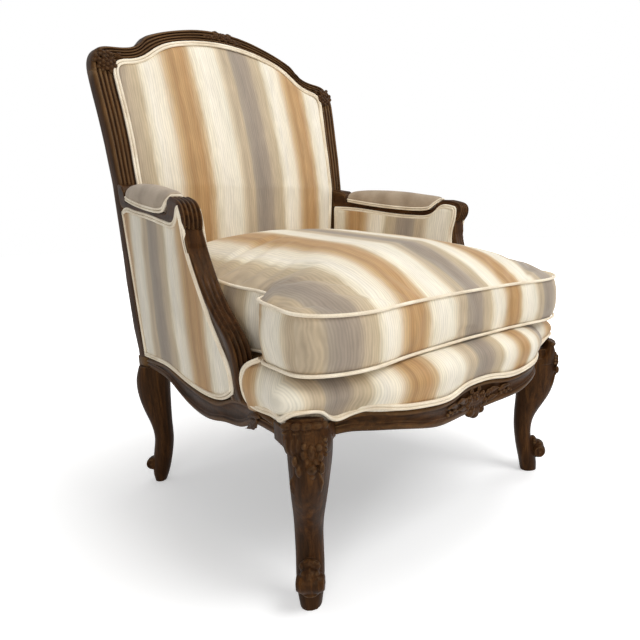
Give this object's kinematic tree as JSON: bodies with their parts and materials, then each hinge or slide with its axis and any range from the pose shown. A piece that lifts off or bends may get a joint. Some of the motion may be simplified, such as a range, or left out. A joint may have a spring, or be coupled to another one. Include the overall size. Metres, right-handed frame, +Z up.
{
  "type": "bergere armchair",
  "caption": "Upholstered armchair with a carved, moulded wooden frame, closed padded arms, an arched padded back, a loose T-shaped seat cushion and cabriole legs with scroll feet.",
  "frame": {"origin": "middle of the chair's footprint on the floor", "axes": "+Z up, -Y towards the front of the seat, +X across the chair"},
  "size_m": [0.7258, 0.787, 1.003],
  "materials": {
    "walnut": "satin",
    "striped_cover": "matte",
    "plain_cover": "matte",
    "webbing": "matte",
    "stuffing": "matte",
    "dust_cloth": "matte"
  },
  "bodies": {
    "chair": {"arm_rail_left": "walnut", "arm_rail_right": "walnut", "arm_stump_left": "walnut", "arm_stump_right": "walnut", "armrest_pad_left": "plain_cover", "armrest_pad_right": "plain_cover", "back_post_left": "walnut", "back_post_right": "walnut", "back_seat_rail": "walnut", "crest_rail": "walnut", "dust_cover": "dust_cloth", "front_block_left": "walnut", "front_block_right": "walnut", "front_leg_left": "walnut", "front_leg_right": "walnut", "front_seat_rail": "walnut", "inside_arm_pad_left": "striped_cover", "inside_arm_pad_right": "striped_cover", "inside_back_pad": "striped_cover", "lower_back_rail": "walnut", "outside_arm_panel_left": "striped_cover", "outside_arm_panel_right": "striped_cover", "outside_back_panel": "striped_cover", "rear_block_left": "walnut", "rear_block_right": "walnut", "seat_deck": "striped_cover", "seat_stuffing": "stuffing", "seat_webbing": "webbing", "side_seat_rail_left": "walnut", "side_seat_rail_right": "walnut"},
    "cushion": {"seat_cushion": "striped_cover"}
  },
  "joints": [
    {"name": "cushion_lift", "type": "slide", "parent": "chair", "child": "cushion", "axis": [0, 0, 1], "range_m": [0, 0.35]}
  ]
}
